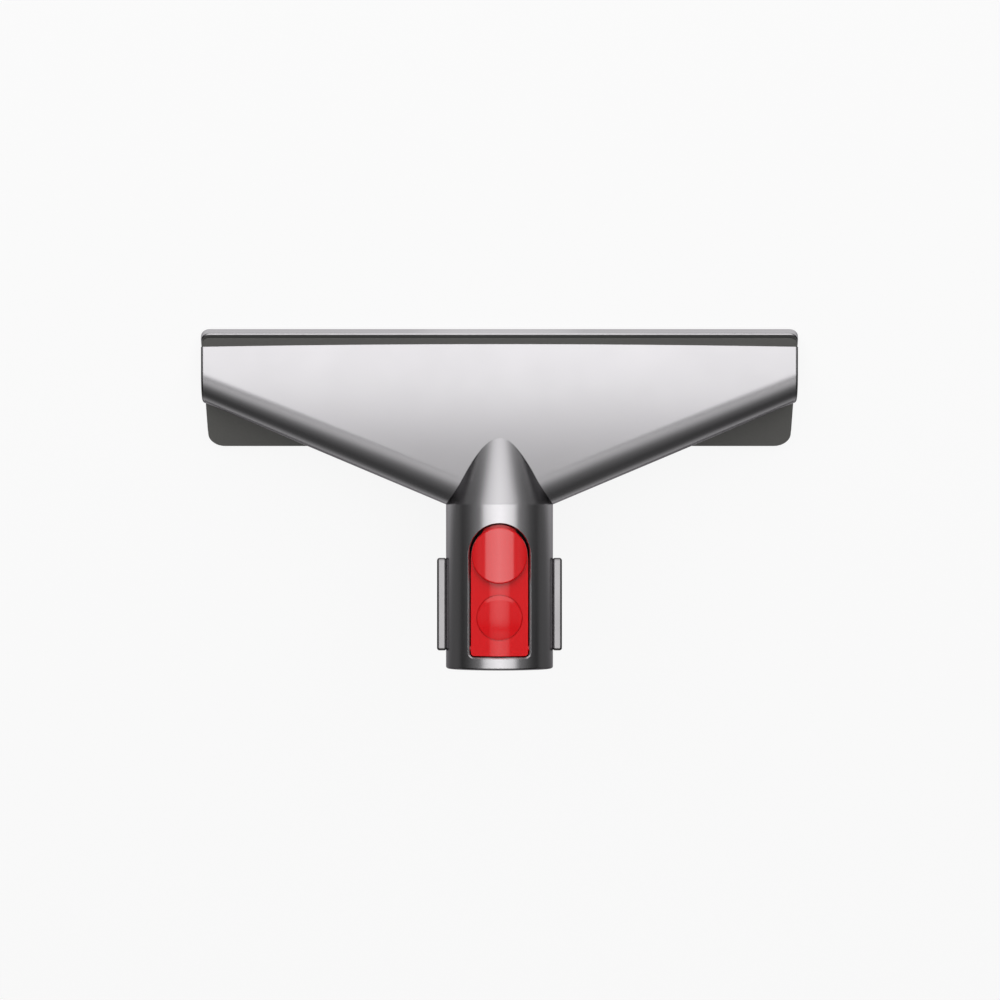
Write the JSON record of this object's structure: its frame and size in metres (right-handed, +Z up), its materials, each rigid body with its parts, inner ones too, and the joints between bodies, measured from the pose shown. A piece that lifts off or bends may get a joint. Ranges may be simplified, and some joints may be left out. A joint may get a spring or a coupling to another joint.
{
  "type": "vacuum mattress nozzle",
  "caption": "Wide flat suction nozzle for mattresses: fan-shaped duct on a slotted sole with velour strips, and a keyed neck with a spring-loaded release latch.",
  "frame": {"origin": "on the sole's gliding face, at the middle of the head's width and depth", "axes": "+X along the head, +Y towards the rear edge, which is the side the neck leans to, +Z up from the sole"},
  "size_m": [0.1984, 0.0989, 0.086],
  "materials": {
    "silver": "gloss",
    "dark_grey": "matt",
    "red": "gloss",
    "spring_steel": "drawn wire",
    "velour": "short pile"
  },
  "bodies": {
    "nozzle": {"sole_plate": "silver", "cover_plate": "dark_grey", "duct_body": "silver", "spigot": "silver", "latch_spring": "spring_steel", "lint_strip_front": "velour", "lint_strip_rear": "velour"},
    "latch": {"release_latch": "red"}
  },
  "joints": [
    {"name": "latch_pivot", "type": "hinge", "parent": "nozzle", "child": "latch", "pos_m": [0, 0.04714, 0.07764], "axis": [1, 0, 0], "range_deg": [0, 3.6], "stiffness_Nm_per_rad": 1.4, "springref_deg": -2.58, "deforming": ["latch_spring"]}
  ]
}
